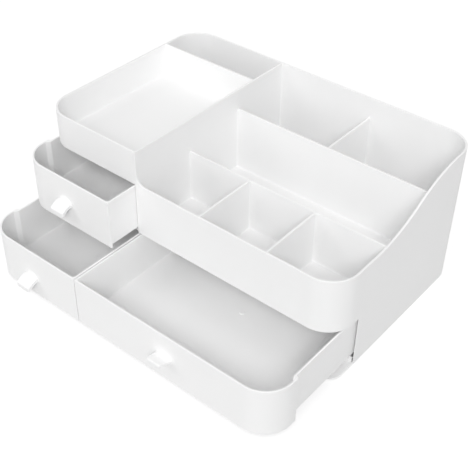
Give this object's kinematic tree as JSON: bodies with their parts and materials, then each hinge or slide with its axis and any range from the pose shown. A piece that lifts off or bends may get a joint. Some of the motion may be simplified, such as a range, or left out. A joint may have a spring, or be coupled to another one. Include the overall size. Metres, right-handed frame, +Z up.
{
  "type": "makeup organizer",
  "caption": "Desktop makeup organizer in white plastic: open trays and bins on top, a swept side rim, and sliding drawers below with small tongue-shaped finger pulls.",
  "frame": {"origin": "middle of the cabinet's footprint, on the surface that it stands on, at the underside of the middle foot pad", "axes": "+X from the small drawers' side to the wide drawer's side, +Y from the drawer fronts to the back wall, +Z up"},
  "size_m": [0.32, 0.2945, 0.138],
  "materials": {
    "white_shell": "satin",
    "white_drawer": "satin",
    "foot_pad": "matte"
  },
  "bodies": {
    "cabinet": {"back_wall": "white_shell", "left_wall": "white_shell", "right_wall": "white_shell", "tray_front_wall": "white_shell", "bin_front_wall": "white_shell", "middle_wall": "white_shell", "bin_floor": "white_shell", "drawer_shelf": "white_shell", "tray_floor": "white_shell", "tray_back_wall": "white_shell", "low_divider": "white_shell", "tall_divider": "white_shell", "rear_divider": "white_shell", "front_divider_1": "white_shell", "front_divider_2": "white_shell", "base_plate": "white_shell", "base_sill": "white_shell", "wide_drawer_runners": "white_shell", "lower_drawer_runners": "white_shell", "upper_drawer_runners": "white_shell", "foot_front_left": "foot_pad", "foot_front_right": "foot_pad", "foot_back_left": "foot_pad", "foot_back_right": "foot_pad", "foot_middle": "foot_pad"},
    "wide_drawer_body": {"wide_drawer": "white_drawer", "wide_drawer_pull": "white_drawer"},
    "lower_drawer_body": {"lower_drawer": "white_drawer", "lower_drawer_pull": "white_drawer"},
    "upper_drawer_body": {"upper_drawer": "white_drawer", "upper_drawer_pull": "white_drawer"}
  },
  "joints": [
    {"name": "wide_drawer_slide", "type": "slide", "parent": "cabinet", "child": "wide_drawer_body", "axis": [0, -1, 0], "range_m": [-0.0785, 0.0715]},
    {"name": "lower_drawer_slide", "type": "slide", "parent": "cabinet", "child": "lower_drawer_body", "axis": [0, -1, 0], "range_m": [-0.0785, 0.0715]},
    {"name": "upper_drawer_slide", "type": "slide", "parent": "cabinet", "child": "upper_drawer_body", "axis": [0, -1, 0], "range_m": [-0.0325, 0.0675]}
  ]
}
